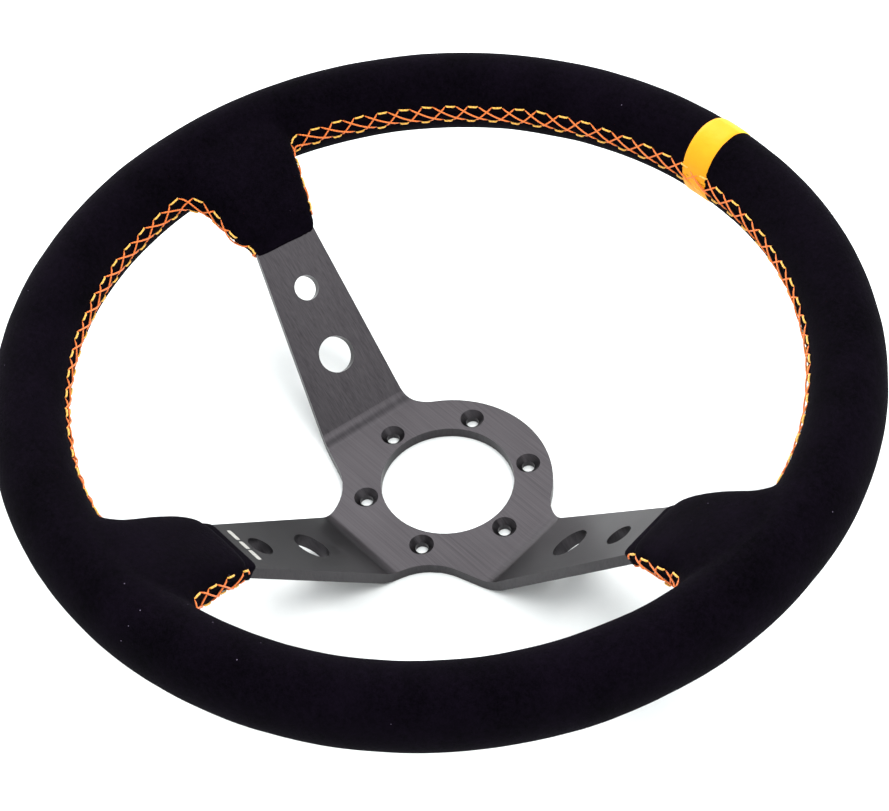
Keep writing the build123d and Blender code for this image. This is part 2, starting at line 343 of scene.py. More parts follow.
def tube_reach(sizes, place):
    """Distance from the tube's centre line as a share of the tube's own section."""
    rho = math.hypot(place.x, place.y)
    return math.hypot((rho - tube_centre(sizes)) / (sizes.tube_width / 2),
                      (place.z - RIM_HEIGHT) / TUBE_B)


def corner_flare(sizes, place, radius):
    """How far a boot's side swings out near the tube to round their corner."""
    gap = max(0.0, (tube_reach(sizes, place) - 1) * sizes.tube_width / 2)
    return radius - math.sqrt(radius ** 2 - max(0.0, radius - gap) ** 2)


def boot_mesh(sizes, spoke):
    """Points and faces of one padded boot, from its hem end into the tube."""
    boot = BOOTS[spoke]
    stations = interpolate_stations(boot_stations(sizes, spoke), 5)
    rings = []
    for k, (tu, tz, bu, bz, left, right) in enumerate(stations):
        fade = 1.0 - smooth_step(k / (len(stations) - 1), 0.35, 0.75)
        ring = []
        for j in range(BOOT_RING):
            a = 2 * math.pi * j / BOOT_RING
            c, s = math.cos(a), math.sin(a)
            c, s = squared(c, 2 / BOOT_CORNER), squared(s, 2 / BOOT_CORNER)
            v = c * (left if c > 0 else right)
            u = (tu + bu) / 2 + s * (tu - bu) / 2
            z = (tz + bz) / 2 + s * (tz - bz) / 2
            slide = boot["lean"] * v * fade
            u += slide * math.cos(sizes.dish)
            z += slide * math.sin(sizes.dish)
            v += c * corner_flare(sizes, spoke_point(spoke, u, v, z),
                                  boot["corner"][0 if c > 0 else 1])
            ring.append(spoke_point(spoke, u, v, z))
        rings.append(ring)
    return loft(rings)


def tube_mesh(sizes, turns=360, ring=72):
    """Points and faces of the plain tube."""
    radius, a, b = tube_centre(sizes), sizes.tube_width / 2, TUBE_B
    points = []
    for i in range(turns):
        t = 2 * math.pi * i / turns
        for j in range(ring):
            p = 2 * math.pi * j / ring
            r = radius + a * math.cos(p)
            points.append((r * math.cos(t), r * math.sin(t), RIM_HEIGHT + b * math.sin(p)))
    return points, grid_faces(turns, ring, wrap_rows=True)


def apply_modifiers(piece):
    """Turns the piece's modifiers into its mesh."""
    graph = bpy.context.evaluated_depsgraph_get()
    mesh = bpy.data.meshes.new_from_object(piece.evaluated_get(graph))
    piece.modifiers.clear()
    old = piece.data
    piece.data = mesh
    bpy.data.meshes.remove(old)
    piece.data.name = piece.name


def vertex_rows(mesh, key):
    """The vertices' places (co) or normals as rows."""
    rows = np.empty(len(mesh.vertices) * 3)
    mesh.vertices.foreach_get(key, rows)
    return rows.reshape(-1, 3)


def settle_on_tube(piece, sizes, cover):
    """Puts the rim part of the mesh exactly on the tube and adds the hand-wrapped waves."""
    mesh = piece.data
    co = vertex_rows(mesh, "co")
    rho = np.hypot(co[:, 0], co[:, 1])
    turn = np.arctan2(co[:, 1], co[:, 0])
    a, b = sizes.tube_width / 2, TUBE_B
    x = (rho - tube_centre(sizes)) / a
    y = (co[:, 2] - RIM_HEIGHT) / b
    k = np.maximum(np.hypot(x, y), 1e-6)
    away = np.full(len(co), 10.0)
    for angle, shift, _ in SPOKES.values():
        middle = angle + math.atan2(shift, tube_centre(sizes))
        gap = np.abs((turn - middle + math.pi) % (2 * math.pi) - math.pi)
        away = np.minimum(away, np.degrees(gap))
    # 1 on the plain rim and on the tube's outer side, 0 where a boot joins the tube
    keep = np.maximum(smooth_step(away, 15.0, 20.0), smooth_step(x / k, -0.15, 0.2))
    keep *= np.abs(k - 1) < 0.12
    scale = 1 + keep * (1 / k - 1)
    new_rho = tube_centre(sizes) + (rho - tube_centre(sizes)) * scale
    co[:, 2] = RIM_HEIGHT + (co[:, 2] - RIM_HEIGHT) * scale
    co[:, 0] *= new_rho / rho
    co[:, 1] *= new_rho / rho
    mesh.vertices.foreach_set("co", co.ravel())
    mesh.update()
    normals = vertex_rows(mesh, "normal")
    waves = np.array([noise.fractal(Vector(p) * WAVES, 1.0, 2.0, 3) for p in co])
    co += normals * (waves * cover.unevenness)[:, None]
    mesh.vertices.foreach_set("co", co.ravel())
    mesh.update()


def build_cover(sizes, cover, material):
    """The padded suede cover of tube and boots, as one skin."""
    points, faces = tube_mesh(sizes)
    for spoke in SPOKES:
        more, quads = boot_mesh(sizes, spoke)
        base = len(points)
        points += more
        faces += [tuple(base + i for i in quad) for quad in quads]
    piece = mesh_object("suede_skin", points, faces, [material])
    fuse = piece.modifiers.new("fuse", "REMESH")
    fuse.mode = "VOXEL"
    fuse.voxel_size = cover.grain
    fuse.use_smooth_shade = True
    soften = piece.modifiers.new("soften", "SMOOTH")
    soften.factor = 0.5
    soften.iterations = cover.rounding
    apply_modifiers(piece)
    settle_on_tube(piece, sizes, cover)
    piece.data.shade_smooth()
    return piece


# ---- hems ----
HEM_CORNER = 3.6 * MM       # rounding of the hem's two corners
HEM_GAP = 0.05 * MM         # keeps the suede off the plate


def plate_edge(sizes, spoke, along, side):
    """How far the plate reaches to one side (1 left, -1 right) along the slope."""
    reach = (TAB_TOP - sizes.plate) / math.tan(sizes.dish)
    taper = (SPOKE_ROOT - SPOKE_NECK) / 2 / reach
    turn, _, fold = SPOKES[spoke]
    half = SPOKE_ROOT / 2 - taper * along * math.cos(sizes.dish)
    return half * (1 - side * taper * math.tan(turn - fold))


def hem_edge(boot, half, v):
    """Where the hem ends along the slope at a place across the spoke, its corners rounded."""
    past = min(max(0.0, abs(v) - (half - HEM_CORNER)), HEM_CORNER)
    return (boot["hem"] + boot["lean"] * v + HEM_CORNER
            - math.sqrt(HEM_CORNER ** 2 - past ** 2))


def build_hem(spoke, sizes, cover, material):
    """Suede pulled tight round the plate, with a cut and slightly frayed edge."""
    random.seed("hem " + spoke)
    boot = BOOTS[spoke]
    around = 128
    half = {side: plate_edge(sizes, spoke, boot["hem"], side) for side in (1, -1)}
    # (share of the hem's length, share of the suede's thickness), edge first
    profile = [(0.30, 0.0), (0.02, 0.25), (0.0, 0.6), (0.06, 0.92), (0.25, 1.0), (0.6, 1.0),
               (0.8, 0.95), (1.15, 0.9)]
    fray = [random.uniform(-1, 1) for _ in range(around)]
    rings = []
    for share_along, lift in profile:
        ring = []
        for j in range(around):
            a = 2 * math.pi * j / around
            c, s = math.cos(a), math.sin(a)
            grow = cover.suede * lift + HEM_GAP
            plate_half = half[1 if c > 0 else -1]
            v = squared(c, 0.22) * (plate_half + grow)
            n = squared(s, 0.34) * (sizes.plate / 2 + grow) - sizes.plate / 2
            edge = fray[j] * 0.16 * MM * (1 - share_along)
            along = hem_edge(boot, plate_half + cover.suede, v) + edge
            along += share_along * (cover.hem + 2 * MM)
            u, z = on_slope(sizes, along, n)
            ring.append(spoke_point(spoke, u, v, z))
        rings.append(ring)
    points = [p for ring in rings for p in ring]
    return mesh_object("boot_hem_" + spoke, points, grid_faces(len(rings), around), [material])


# ---- materials ----
class Shader:
    """Builds one node material step by step."""

    def __init__(self, name):
        self.material = bpy.data.materials.new(name)
        self.material.use_nodes = True
        self.tree = self.material.node_tree
        self.tree.nodes.clear()
        self.output = self.node("ShaderNodeOutputMaterial")
        self.surface = self.node("ShaderNodeBsdfPrincipled")
        self.join(self.surface.outputs["BSDF"], self.output.inputs["Surface"])
        self.coords = self.node("ShaderNodeTexCoord")

    def node(self, kind, **settings):
        """A new node with its properties set."""
        made = self.tree.nodes.new(kind)
        for key, value in settings.items():
            setattr(made, key, value)
        return made

    def join(self, source, target):
        """Links an output to an input."""
        self.tree.links.new(source, target)

    def set(self, **values):
        """Sets the surface's own sockets, such as Roughness=0.5."""
        for key, value in values.items():
            self.surface.inputs[key.replace("_", " ")].default_value = value

    def space(self, scale=(1, 1, 1), source="Object"):
        """Texture coordinates stretched by scale."""
        mapping = self.node("ShaderNodeMapping")
        mapping.inputs["Scale"].default_value = scale
        self.join(self.coords.outputs[source], mapping.inputs["Vector"])
        return mapping.outputs["Vector"]

    def noise(self, scale, detail=3.0, rough=0.55, vector=None):
        """Noise from 0 to 1."""
        made = self.node("ShaderNodeTexNoise")
        made.inputs["Scale"].default_value = scale
        made.inputs["Detail"].default_value = detail
        made.inputs["Roughness"].default_value = rough
        self.join(vector or self.coords.outputs["Object"], made.inputs["Vector"])
        return made.outputs["Fac"]

    def ramp(self, value, stops):
        """Maps a value through colour or grey stops."""
        made = self.node("ShaderNodeValToRGB")
        ramp = made.color_ramp
        while len(ramp.elements) < len(stops):
            ramp.elements.new(0.5)
        for element, (place, tone) in zip(ramp.elements, stops):
            element.position = place
            if isinstance(tone, (int, float)):
                tone = (tone, tone, tone)
            element.color = (*tone, 1.0)
        self.join(value, made.inputs["Fac"])
        return made.outputs["Color"]

    def mix(self, factor, first, second):
        """Mixes two colours."""
        made = self.node("ShaderNodeMix", data_type="RGBA")
        for socket, value in ((made.inputs[0], factor), (made.inputs[6], first),
                              (made.inputs[7], second)):
            if isinstance(value, bpy.types.NodeSocket):
                self.join(value, socket)
            elif isinstance(value, (int, float)):
                socket.default_value = value
            else:
                socket.default_value = (*value, 1.0)
        return made.outputs[2]

    def math(self, kind, first, second=0.0):
        """Arithmetic on values."""
        made = self.node("ShaderNodeMath", operation=kind)
        for socket, value in zip(made.inputs, (first, second)):
            if isinstance(value, bpy.types.NodeSocket):
                self.join(value, socket)
            else:
                socket.default_value = value
        return made.outputs["Value"]

    def bump(self, height, strength, distance, under=None):
        """Bump on the surface's normal, over an earlier bump if given."""
        made = self.node("ShaderNodeBump")
        made.inputs["Strength"].default_value = strength
        made.inputs["Distance"].default_value = distance
        self.join(height, made.inputs["Height"])
        if under:
            self.join(under, made.inputs["Normal"])
        self.join(made.outputs["Normal"], self.surface.inputs["Normal"])
        return made.outputs["Normal"]

    def colour(self, socket):
        """Feeds the base colour."""
        self.join(socket, self.surface.inputs["Base Color"])


def suede_material(cover):
    """Napped suede: fine fibres, brushed patches and a few specks of lint."""
    s = Shader("napped_suede")
    fibres = s.noise(1700, 2, 0.7)
    tufts = s.noise(520, 3, 0.65)
    patches = s.noise(46, 3, 0.5)
    nap = s.math("ADD", s.math("MULTIPLY", fibres, 0.45), s.math("MULTIPLY", tufts, 0.55))
    nap = s.math("ADD", nap, s.math("MULTIPLY", s.math("SUBTRACT", patches, 0.5), 0.5))
    tone = s.ramp(nap, [(0.30, tuple(cover.nap_dark)), (0.72, tuple(cover.nap_light))])
    cells = s.node("ShaderNodeTexVoronoi")
    cells.inputs["Scale"].default_value = 150
    s.join(s.coords.outputs["Object"], cells.inputs["Vector"])
    near = s.math("LESS_THAN", cells.outputs["Distance"], 0.036)
    chosen = s.node("ShaderNodeSeparateColor")
    s.join(cells.outputs["Color"], chosen.inputs["Color"])
    rare = s.math("GREATER_THAN", chosen.outputs["Red"], 0.72)
    speck = s.math("MULTIPLY", near, rare)
    s.colour(s.mix(speck, tone, tuple(cover.lint)))
    coarse = s.bump(tufts, 0.35, 0.0005)
    s.bump(fibres, 0.4, 0.0003, coarse)
    s.set(Roughness=0.95, Sheen_Weight=cover.sheen, Sheen_Roughness=0.45,
          Sheen_Tint=(*cover.sheen_tint, 1.0), Specular_IOR_Level=0.025)
    return s.material


def thread_material(name, tone):
    """Twisted thread: slanting plies round each length, with painted shade in the grooves between
    them.
    """
    s = Shader(name)
    plies = s.node("ShaderNodeTexWave", wave_type="BANDS", bands_direction="DIAGONAL")
    plies.inputs["Scale"].default_value = 1.0
    plies.inputs["Distortion"].default_value = 0.6
    s.join(s.space((1, 1, 1), "UV"), plies.inputs["Vector"])
    # painted shade: the ply grooves (the low bands, which the bump also sinks) get 0.6 of the
    # thread's colour
    dark = tuple(c * 0.6 for c in tone)
    fuzz = s.noise(3000, 2, 0.6)
    plies_with_painted_shade = s.ramp(plies.outputs["Fac"], [(0.05, dark), (0.55, tuple(tone))])
    light = tuple(min(1.0, c * 1.25 + 0.03) for c in tone)
    s.colour(s.mix(s.math("MULTIPLY", fuzz, 0.55), plies_with_painted_shade, light))
    s.bump(plies.outputs["Fac"], 0.8, 0.0002)
    s.set(Roughness=0.62, Sheen_Weight=0.25, Sheen_Roughness=0.4, Specular_IOR_Level=0.4)
    return s.material


def mark_material(mark):
    """Smooth coloured leather, deeper in tone towards the seam."""
    s = Shader("mark_leather")
    split = s.node("ShaderNodeSeparateXYZ")
    s.join(s.coords.outputs["UV"], split.inputs["Vector"])
    towards_seam = s.ramp(split.outputs["Y"], [(0.30, 0.0), (0.40, 1.0)])
    base = s.mix(towards_seam, tuple(mark.face), tuple(mark.inner))
    cloud = s.noise(260, 3, 0.5)
    s.colour(s.mix(s.math("MULTIPLY", cloud, 0.22), base, tuple(c * 0.72 for c in mark.face)))
    grain = s.node("ShaderNodeTexVoronoi", feature="SMOOTH_F1")
    grain.inputs["Scale"].default_value = 1500
    s.join(s.coords.outputs["Object"], grain.inputs["Vector"])
    folds = s.bump(s.noise(420, 2, 0.5), 0.25, 0.0006)
    s.bump(grain.outputs["Distance"], 0.18, 0.00015, folds)
    s.set(Roughness=0.5, Specular_IOR_Level=0.18)
    return s.material


def brushed_material(plate):
    """Black anodising over fine brush lines that run across the wheel."""
    s = Shader("brushed_anodising")
    fine = s.noise(1.0, 3, 0.6, s.space((22, 4200, 420)))
    long_lines = s.noise(1.0, 2, 0.55, s.space((9, 1500, 160)))
    cloud = s.noise(34, 2, 0.5)
    lines = s.math("ADD", s.math("MULTIPLY", fine, 0.66), s.math("MULTIPLY", long_lines, 0.34))
    s.colour(s.ramp(lines, [(0.34, tuple(plate.anodised)), (0.68, tuple(plate.brushed))]))
    rough = s.math("ADD", s.math("MULTIPLY", lines, 0.22), s.math("MULTIPLY", cloud, 0.10))
    s.join(s.math("ADD", rough, 0.24), s.surface.inputs["Roughness"])
    s.bump(lines, 0.16, 0.0002)
    s.set(Metallic=1.0, Anisotropic=0.55)
    return s.material


def bare_material(name, tone):
    """Plain turned metal inside the rim."""
    s = Shader(name)
    marks = s.noise(1.0, 3, 0.5, s.space((900, 900, 120)))
    s.colour(s.ramp(marks, [(0.3, tuple(c * 0.8 for c in tone)), (0.7, tuple(tone))]))
    s.join(s.math("ADD", s.math("MULTIPLY", marks, 0.25), 0.28), s.surface.inputs["Roughness"])
    s.bump(marks, 0.2, 0.0002)
    s.set(Metallic=1.0)
    return s.material


def floor_material(stage):
    """Pale seamless paper."""
    s = Shader("pale_paper")
    grain = s.noise(220, 3, 0.5)
    tone = tuple(stage.floor)
    s.colour(s.ramp(grain, [(0.3, tuple(c * 0.985 for c in tone)), (0.7, tone)]))
    s.bump(grain, 0.05, 0.0004)
    s.set(Roughness=0.9, Specular_IOR_Level=0.1)
    return s.material


def finish_node(node, material):
    """Puts a material on every slot of a carried CAD node."""
    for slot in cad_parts[node].material_slots:
        slot.material = material


# ---- lacing ----
class Skin:
    """Nearest places and smooth normals on finished pieces."""

    def __init__(self, pieces):
        self.points, self.normals, self.faces = [], [], []
        for piece in pieces:
            base, mesh = len(self.points), piece.data
            self.points += [v.co.copy() for v in mesh.vertices]
            self.normals += [v.normal.copy() for v in mesh.vertices]
            self.faces += [tuple(base + i for i in p.vertices) for p in mesh.polygons]
        self.tree = BVHTree.FromPolygons(self.points, self.faces)

    def at(self, place):
        """(point, normal) on the skin nearest to place."""
        point, _, face, _ = self.tree.find_nearest(place)
        normal = Vector()
        for i in self.faces[face]:
            normal += self.normals[i] / ((self.points[i] - point).length + 1e-4)
        return point, normal.normalized()


# Each run's two boots, and how far from each hem the lacing stops.
RUNS = {
    "lacing_upper": ("right", "left", 7.0 * MM, 8.0 * MM),
    "lacing_lower_left": ("left", "bottom", 2.8 * MM, 7.0 * MM),
    "lacing_lower_right": ("bottom", "right", 8.0 * MM, 6.0 * MM),
}
STEP = 1.0 * MM             # spacing of a seam line's points
BACK_TACK = 0.92            # the back row's tacks, as a share of the front row's


def boot_side(sizes, spoke, side):
    """Points down the middle of a boot's side, from the tube to the hem."""
    points = []
    for tu, tz, bu, bz, left, right in interpolate_stations(boot_stations(sizes, spoke), 12):
        u, z = (tu + bu) / 2, (tz + bz) / 2
        v = side * (left if side > 0 else right)
        v += side * corner_flare(sizes, spoke_point(spoke, u, v, z),
                                 BOOTS[spoke]["corner"][0 if side > 0 else 1])
        points.append(spoke_point(spoke, u, v, z))
    return list(reversed(points))


def even_steps(points, step):
    """The same line with its points an even step apart."""
    run = [0.0]
    for a, b in zip(points, points[1:]):
        run.append(run[-1] + (b - a).length)
    count = max(2, round(run[-1] / step) + 1)
    marks = np.linspace(0, run[-1], count)
    rows = np.array([tuple(p) for p in points])
    return [Vector(np.interp(m, run, rows[:, k]) for k in range(3)) for m in marks]


def seam_line(sizes, skin, first, last):
    """The seam from one boot's hem, along the tube's inside, to the next boot's hem."""
    start, end = ([p for p in boot_side(sizes, spoke, side) if tube_reach(sizes, p) > 1]
                  for spoke, side in ((first, 1), (last, -1)))
    low = math.atan2(start[0].y, start[0].x)
    high = math.atan2(end[0].y, end[0].x)
    while high < low:
        high += 2 * math.pi
    radius = tube_centre(sizes) - sizes.tube_width / 2
    count = int((high - low) * radius / STEP)
    rim = [Vector((radius * math.cos(t), radius * math.sin(t), RIM_HEIGHT))
           for t in np.linspace(low, high, count)]
    line = even_steps(list(reversed(start)) + rim[1:-1] + end, STEP)
    for _ in range(30):
        middle = [(a + c) / 4 + b / 2 for a, b, c in zip(line, line[1:], line[2:])]
        line = [line[0]] + [skin.at(p)[0] for p in middle] + [line[-1]]
    return even_steps(line, STEP)


class Seam:
    """A seam line with a place and a frame at any distance along it."""

    def __init__(self, line, skin):
        self.skin = skin
        self.rows = np.array([tuple(p) for p in line])
        gaps = np.linalg.norm(np.diff(self.rows, axis=0), axis=1)
        self.run = np.concatenate(([0.0], np.cumsum(gaps)))
        self.length = self.run[-1]
        normals = np.array([tuple(skin.at(p)[1]) for p in line])
        for _ in range(6):
            normals[1:-1] = (normals[:-2] + 2 * normals[1:-1] + normals[2:]) / 4
        self.normals = normals

    def look(self, rows, along):
        """Rows read at a distance along the line."""
        return Vector(np.interp(along, self.run, rows[:, k]) for k in range(3))

    def place(self, along, across, lift):
        """A point beside the seam, lifted off the skin. Positive is towards the driver."""
        point = self.look(self.rows, along)
        normal = self.look(self.normals, along).normalized()
        ahead = (self.look(self.rows, along + STEP) - self.look(self.rows, along - STEP))
        sideways = ahead.cross(normal).normalized()
        if sideways.z < 0:
            sideways = -sideways
        touch, out = self.skin.at(point + sideways * across)
        return touch + out * lift, out


def sweep(points, outs, radius, ring=8):
    """Points, faces and UVs of a round thread that follows points, closed at both ends."""
    place, faces, marks = [], [], []
    run = 0.0
    for i, (point, out) in enumerate(zip(points, outs)):
        ahead = points[min(i + 1, len(points) - 1)] - points[max(i - 1, 0)]
        side = ahead.cross(out).normalized()
        up = side.cross(ahead).normalized()
        if i:
            run += (point - points[i - 1]).length
        thin = 0.55 if i in (0, len(points) - 1) else 1.0
        for j in range(ring):
            a = 2 * math.pi * j / ring
            place.append(point + (side * math.cos(a) + up * math.sin(a)) * radius * thin)
            marks.append((j / ring, run / (radius * 6)))
    faces = grid_faces(len(points), ring)
    last = (len(points) - 1) * ring
    faces.append(tuple(reversed(range(ring))))
    faces.append(tuple(range(last, last + ring)))
    return place, faces, marks


class ThreadMesh:
    """Collects swept threads into one piece with two materials."""

    def __init__(self):
        self.points, self.faces, self.slots, self.marks = [], [], [], []

    def add(self, points, outs, radius, slot):
        """Sweeps one thread and keeps its material slot."""
        place, faces, marks = sweep(points, outs, radius)
        base = len(self.points)
        self.points += place
        self.marks += marks
        self.faces += [tuple(base + i for i in face) for face in faces]
        self.slots += [slot] * len(faces)

    def piece(self, name, materials):
        """The finished object."""
        made = mesh_object(name, self.points, self.faces, materials)
        for polygon, slot in zip(made.data.polygons, self.slots):
            polygon.material_index = slot
        layer = made.data.uv_layers.new(name="thread")
        for loop in made.data.loops:
            layer.data[loop.index].uv = self.marks[loop.vertex_index]
        return made


def thread_path(seam, start, end, radius, extra=0.0, count=9):
    """Points and normals of a thread laid on the skin from start to end."""
    points, outs = [], []
    for t in np.linspace(0, 1, count):
        along = start[0] + (end[0] - start[0]) * t
        across = start[1] + (end[1] - start[1]) * t
        arch = 1 - abs(2 * t - 1) ** 6
        rise = extra * math.sin(math.pi * t) ** 2
        # its ends are sunk in the skin, and between them it rests on top
        lift = radius * (1.9 * arch - 0.9) + rise
        point, out = seam.place(along, across, lift)
        points.append(point)
        outs.append(out)
    return points, outs


def build_lacing(name, seam, lacing, materials):
    """Crossed lacing between two rows of tacks, from boot to boot."""
    _, _, first_margin, last_margin = RUNS[name]
    random.seed(name)
    threads = ThreadMesh()
    half = lacing.gauge / 2
    tack = lacing.tack_length / 2
    laced = seam.length - first_margin - last_margin
    count = int(laced / lacing.pitch)
    pitch = laced / count
    drop = -lacing.seam_drop

    def jitter(size):
        return random.uniform(-size, size)

    front, back = [], []
    for i in range(count + 1):
        s = first_margin + i * pitch
        slip = 0.28 * pitch * math.sin(math.pi * i / count) ** 2
        front.append((s + jitter(0.4 * MM), drop + half + jitter(0.3 * MM)))
        back.append((s + slip + jitter(0.4 * MM), drop - half + jitter(0.3 * MM)))
    back_tack = tack * BACK_TACK
    for row, size in ((front, tack), (back, back_tack)):
        for s, across in row:
            lean = jitter(0.35 * MM)
            ends = (s - size, across + lean), (s + size, across - lean)
            threads.add(*thread_path(seam, *ends, lacing.tack / 2, count=8),
                        lacing.tack / 2, 1)
    radius = lacing.thread / 2
    for i in range(count):
        start = (front[i][0] + tack, front[i][1] - 0.1 * MM)
        end = (back[i + 1][0] - back_tack, back[i + 1][1] + 0.1 * MM)
        threads.add(*thread_path(seam, start, end, radius), radius, 0)
    for i in range(count - 1):
        start = (back[i][0] + back_tack, back[i][1] + 0.1 * MM)
        end = (front[i + 2][0] - tack, front[i + 2][1] - 0.1 * MM)
        threads.add(*thread_path(seam, start, end, radius, extra=radius * 1.7), radius, 0)
    # the tucked ends at the two hems
    for along, way in ((first_margin, -1), (seam.length - last_margin, 1)):
        for across in (half, -half):
            end = (along + way * 3.6 * MM, drop + across * 0.35)
            start = (along + way * tack * 0.8, drop + across)
            threads.add(*thread_path(seam, start, end, radius, count=7), radius, 0)
    return threads.piece(name + "_thread", materials)


def press_seam(piece, seams, cover, lacing):
    """Refines the mesh along the seams, then sinks the seam and the rows of tacks."""
    line = KDTree(sum(len(seam.rows) for seam in seams))
    for seam in seams:
        for row in seam.rows:
            line.insert(row, 0)
    line.balance()
    near = lacing.gauge / 2 + 2 * MM
    groove_half, dent, dent_half = 0.8 * MM, 0.18 * MM, 0.9 * MM
    work = bmesh.new()
    work.from_mesh(piece.data)
    close = [f for f in work.faces if line.find(f.calc_center_median())[2] < near]
    edges = {e for f in close for e in f.edges}
    bmesh.ops.subdivide_edges(work, edges=list(edges), cuts=1, use_grid_fill=True)
    work.normal_update()
    for v in work.verts:
        gap = line.find(v.co)[2]
        if gap < near + 2 * MM:
            sink = cover.groove * math.exp(-(gap / groove_half) ** 2)
            sink += dent * math.exp(-((gap - lacing.gauge / 2) / dent_half) ** 2)
            v.co -= v.normal * sink
    work.to_mesh(piece.data)
    work.free()
    piece.data.shade_smooth()


# ---- centre mark ----
def build_mark(sizes, cover, mark, material):
    """The leather band round the tube, its ends tucked together at the seam."""
    around, columns = 120, 15
    tucked = 0.25 * MM          # how far the band's two edges dip under the suede
    radius, a, b = tube_centre(sizes), sizes.tube_width / 2, TUBE_B
    points, marks = [], []
    for i in range(around + 1):
        p = math.pi + 2 * math.pi * i / around
        at_seam = 1 - smooth_step(min(i, around - i) / around, 0.0, 0.10)
        for j in range(columns):
            t = 2 * j / (columns - 1) - 1
            edge = 1 - abs(t) ** 9
            half = mark.width / 2 * (1 - 0.05 * at_seam)
            angle = mark.bearing + t * half / (radius + a * math.cos(p))
            base = Vector(((radius + a * math.cos(p)) * math.cos(angle),
                           (radius + a * math.cos(p)) * math.sin(angle),
                           RIM_HEIGHT + b * math.sin(p)))
            out = Vector((b * math.cos(p) * math.cos(angle), b * math.cos(p) * math.sin(angle),
                          a * math.sin(p))).normalized()
            wave = noise.fractal(base * WAVES, 1.0, 2.0, 3) * cover.unevenness
            crease = at_seam * 0.45 * MM * noise.noise(Vector((t * 3.1, i * 0.9, 7.0)))
            lift = wave + crease + edge * (mark.thickness + tucked) - tucked
            points.append(base + out * lift)
            marks.append((j / (columns - 1), min(i, around - i) / around * 2))
    faces = [tuple(reversed(f)) for f in grid_faces(around + 1, columns, wrap_columns=False)]
    piece = mesh_object("centre_band", points, faces, [material])
    layer = piece.data.uv_layers.new(name="band")
    for loop in piece.data.loops:
        u, v = marks[loop.vertex_index]
        layer.data[loop.index].uv = (u, 1 - v)
    return piece


# ---- etched bars ----
BARS_ALONG = 71.8 * MM      # from the lower bend, along the slope
BARS = ((-7.4 * MM, 6.4 * MM), (-0.6 * MM, 5.0 * MM), (5.9 * MM, 6.4 * MM))  # middle, width
BAR_RING = 24               # points round a bar


def build_bars(sizes, material):
    """A short row of plain bars etched near the bottom boot."""
    points, faces = [], []
    rise = 0.03 * MM
    for middle, width in BARS:
        ring = []
        for k in range(BAR_RING):
            a = 2 * math.pi * k / BAR_RING
            c, s = math.cos(a), math.sin(a)
            v = middle + squared(c, 0.35) * width / 2
            along = BARS_ALONG + squared(s, 0.35) * 1.2 * MM
            ring.append((v, along))
        base = len(points)
        for above in (rise, -rise):
            for v, along in ring:
                u, z = on_slope(sizes, along, above)
                points.append(spoke_point("bottom", u, v, z))
        faces += [tuple(base + i for i in quad) for quad in grid_faces(2, BAR_RING)]
        faces.append(tuple(base + i for i in range(BAR_RING)))
        faces.append(tuple(base + i for i in reversed(range(BAR_RING, 2 * BAR_RING))))
    return mesh_object("etched_bars", points, faces, [material], smooth=False)


def etched_material(plate):
    """Pale laser-etched mark."""
    s = Shader("etched_mark")
    dots = s.noise(2400, 2, 0.6)
    tone = tuple(plate.bar)
    s.colour(s.ramp(dots, [(0.3, tuple(c * 0.62 for c in tone)), (0.6, tone)]))
    s.bump(dots, 0.3, 0.0001)
    s.set(Roughness=0.6, Specular_IOR_Level=0.4)
    return s.material


# ---- stage ----
CAMERA_AIM = (-34.47 * MM, 21.50 * MM, 5.0 * MM)
CAMERA_SHIFT = (0.0154, 0.0035)     # as shares of the frame's width
FLOOR_DROP = 0.5 * MM               # floor below the hub's back face
LIT_POINT = (0, 0, 0.05)            # every light faces this point


def area_light(name, place, aim, size, power):
    """A soft square light that faces aim."""
    data = bpy.data.lights.new(name, "AREA")
    data.shape = "RECTANGLE"
    data.size, data.size_y = size
    data.energy = power
    light = bpy.data.objects.new(name, data)
    light.location = place
    light.rotation_mode = "QUATERNION"
    light.rotation_quaternion = (Vector(aim) - Vector(place)).to_track_quat("-Z", "Y")
    bpy.context.collection.objects.link(light)


def build_stage(stage):
    """Pale floor, soft lights and the camera."""
    reach, count = 3.0, 24
    points = [(reach * (2 * i / count - 1), reach * (2 * j / count - 1), -FLOOR_DROP)
              for i in range(count + 1) for j in range(count + 1)]
    floor = mesh_object("studio_floor", points,
                        grid_faces(count + 1, count + 1, wrap_columns=False),
                        [floor_material(stage)])
    floor.data.flip_normals()

    world = bpy.data.worlds.new("studio_air")
    world.use_nodes = True
    sky = world.node_tree.nodes["Background"]
    sky.inputs["Color"].default_value = (0.95, 0.98, 1.0, 1.0)
    sky.inputs["Strength"].default_value = 1.5
    bpy.context.scene.world = world

    area_light("key", (0.60, 0.06, 1.37), LIT_POINT, (0.6, 0.6), 11)
    area_light("soft_box", (-0.62, 0.47, 0.92), LIT_POINT, (0.8, 0.8), 9)
    area_light("low_box", (-1.6, 0.5, 0.4), LIT_POINT, (1.0, 0.8), 13)

    settings = bpy.context.scene.view_settings
    settings.view_transform = "Standard"
    settings.look = "None"

    azimuth, elevation = stage.azimuth, stage.elevation
    back = Vector((math.sin(azimuth) * math.cos(elevation),
                   -math.cos(azimuth) * math.cos(elevation), math.sin(elevation)))
    right = Vector((math.cos(azimuth), math.sin(azimuth), 0))
    up = back.cross(right)
    c, s = math.cos(stage.roll), math.sin(stage.roll)
    across = right * c + up * s
    upward = up * c - right * s
    data = bpy.data.cameras.new("studio_camera")
    data.lens = stage.lens
    data.sensor_width = 36.0
    data.shift_x, data.shift_y = CAMERA_SHIFT
    data.clip_start, data.clip_end = 0.01, 20
    camera = bpy.data.objects.new("studio_camera", data)
    turn = Matrix((across, upward, back)).transposed().to_4x4()
    camera.matrix_world = Matrix.Translation(Vector(CAMERA_AIM) + back * stage.distance) @ turn
    bpy.context.collection.objects.link(camera)
    bpy.context.scene.camera = camera


